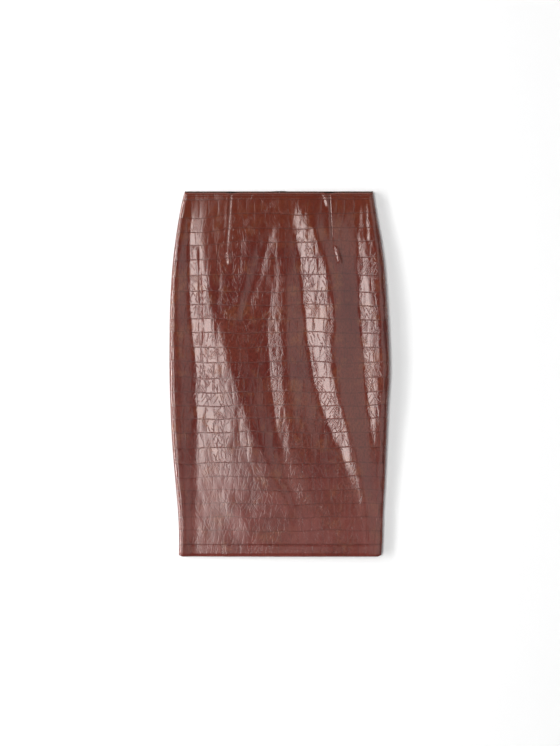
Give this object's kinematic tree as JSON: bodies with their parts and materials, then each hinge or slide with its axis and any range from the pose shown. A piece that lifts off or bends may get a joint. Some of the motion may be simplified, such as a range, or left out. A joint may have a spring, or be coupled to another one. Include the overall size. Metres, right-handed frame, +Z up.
{
  "type": "midi skirt laid flat",
  "caption": "Fitted pencil midi skirt in glossy embossed sheet, laid flat, with waist darts, turned-up hem and a concealed back zip.",
  "frame": {"origin": "middle of the footprint, on the surface that the skirt lies on", "axes": "+Y along the skirt towards its waist, +Z up out of the front, +X to the right as seen from above"},
  "size_m": [0.4417, 0.732, 0.021],
  "materials": {
    "front_sheet": "glossy, crocodile-embossed coated cloth",
    "back_sheet": "glossy, crocodile-embossed coated cloth",
    "zip_tape": "matt woven tape",
    "zip_metal": "satin lacquer"
  },
  "bodies": {
    "skirt": {"front_panel": "front_sheet", "back_panel_left": "back_sheet", "back_panel_right": "back_sheet", "zip_tape_left": "zip_tape", "zip_tape_right": "zip_tape", "zip_slider": "zip_metal"},
    "pull_tab": {"zip_pull_tab": "zip_metal"}
  },
  "joints": [
    {"name": "pull_tab_swing", "type": "hinge", "parent": "skirt", "child": "pull_tab", "pos_m": [0, 0.352, 0.0013], "axis": [1, 0, 0], "range_deg": [0, 165]}
  ]
}
